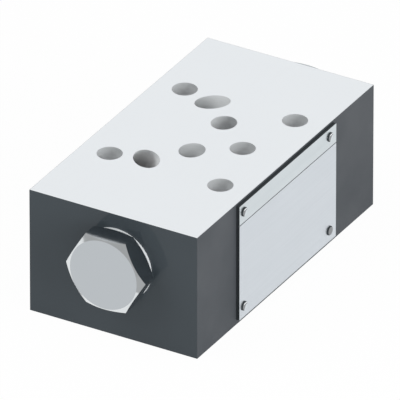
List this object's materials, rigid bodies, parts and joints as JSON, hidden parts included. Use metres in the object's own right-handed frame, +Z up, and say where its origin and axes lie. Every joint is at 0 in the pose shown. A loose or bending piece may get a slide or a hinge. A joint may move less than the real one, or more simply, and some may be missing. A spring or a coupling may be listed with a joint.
{
  "type": "hydraulic sandwich valve",
  "caption": "Sandwich plate check valve: a drilled steel block with a hexagon plug at each end of its bore, clamped between a subplate and a directional valve.",
  "frame": {"origin": "centre of the bottom (subplate) face", "axes": "+Z up to the directional valve, +Y along the long bore from side A to side B, +X towards the nameplate"},
  "size_m": [0.0714, 0.1476, 0.05],
  "materials": {
    "block_steel": "dark coated sides, bright ground port faces",
    "plug_steel": "bright turned",
    "seal_ring_steel": "bright plated",
    "hardened_steel": "ground",
    "pilot_steel": "fine turned",
    "spring_steel": "satin",
    "seal_rubber": "matt",
    "nameplate_aluminium": "satin",
    "pin_steel": "plain"
  },
  "bodies": {
    "housing": {"valve_block": "block_steel", "end_plug_a": "plug_steel", "plug_seal_ring_a": "seal_ring_steel", "seat_sleeve_a": "hardened_steel", "seat_sleeve_seal_a": "seal_rubber", "closing_spring_a": "spring_steel", "end_plug_b": "plug_steel", "plug_seal_ring_b": "seal_ring_steel", "seat_sleeve_b": "hardened_steel", "seat_sleeve_seal_b": "seal_rubber", "closing_spring_b": "spring_steel", "port_seal_p": "seal_rubber", "port_seal_a": "seal_rubber", "port_seal_b": "seal_rubber", "port_seal_ta": "seal_rubber", "port_seal_tb": "seal_rubber", "nameplate": "nameplate_aluminium", "nameplate_pin_1": "pin_steel", "nameplate_pin_2": "pin_steel", "nameplate_pin_3": "pin_steel", "nameplate_pin_4": "pin_steel"},
    "piston": {"control_piston": "hardened_steel"},
    "poppet_a": {"check_poppet_a": "hardened_steel"},
    "pilot_a": {"pilot_poppet_a": "pilot_steel"},
    "poppet_b": {"check_poppet_b": "hardened_steel"},
    "pilot_b": {"pilot_poppet_b": "pilot_steel"}
  },
  "joints": [
    {"name": "piston_shift", "type": "slide", "parent": "housing", "child": "piston", "axis": [0, 1, 0], "range_m": [-0.0014, 0.0014]},
    {"name": "poppet_a_lift", "type": "slide", "parent": "housing", "child": "poppet_a", "axis": [0, -1, 0], "range_m": [0, 0.005], "stiffness_N_per_m": 3000, "springref_m": -0.004, "deforming": ["closing_spring_a"]},
    {"name": "pilot_a_lift", "type": "slide", "parent": "poppet_a", "child": "pilot_a", "axis": [0, -1, 0], "range_m": [0, 0.0015], "stiffness_N_per_m": 3000, "springref_m": -0.002, "deforming": ["closing_spring_a"]},
    {"name": "poppet_b_lift", "type": "slide", "parent": "housing", "child": "poppet_b", "axis": [0, 1, 0], "range_m": [0, 0.005], "stiffness_N_per_m": 3000, "springref_m": -0.004, "deforming": ["closing_spring_b"]},
    {"name": "pilot_b_lift", "type": "slide", "parent": "poppet_b", "child": "pilot_b", "axis": [0, 1, 0], "range_m": [0, 0.0015], "stiffness_N_per_m": 3000, "springref_m": -0.002, "deforming": ["closing_spring_b"]}
  ]
}
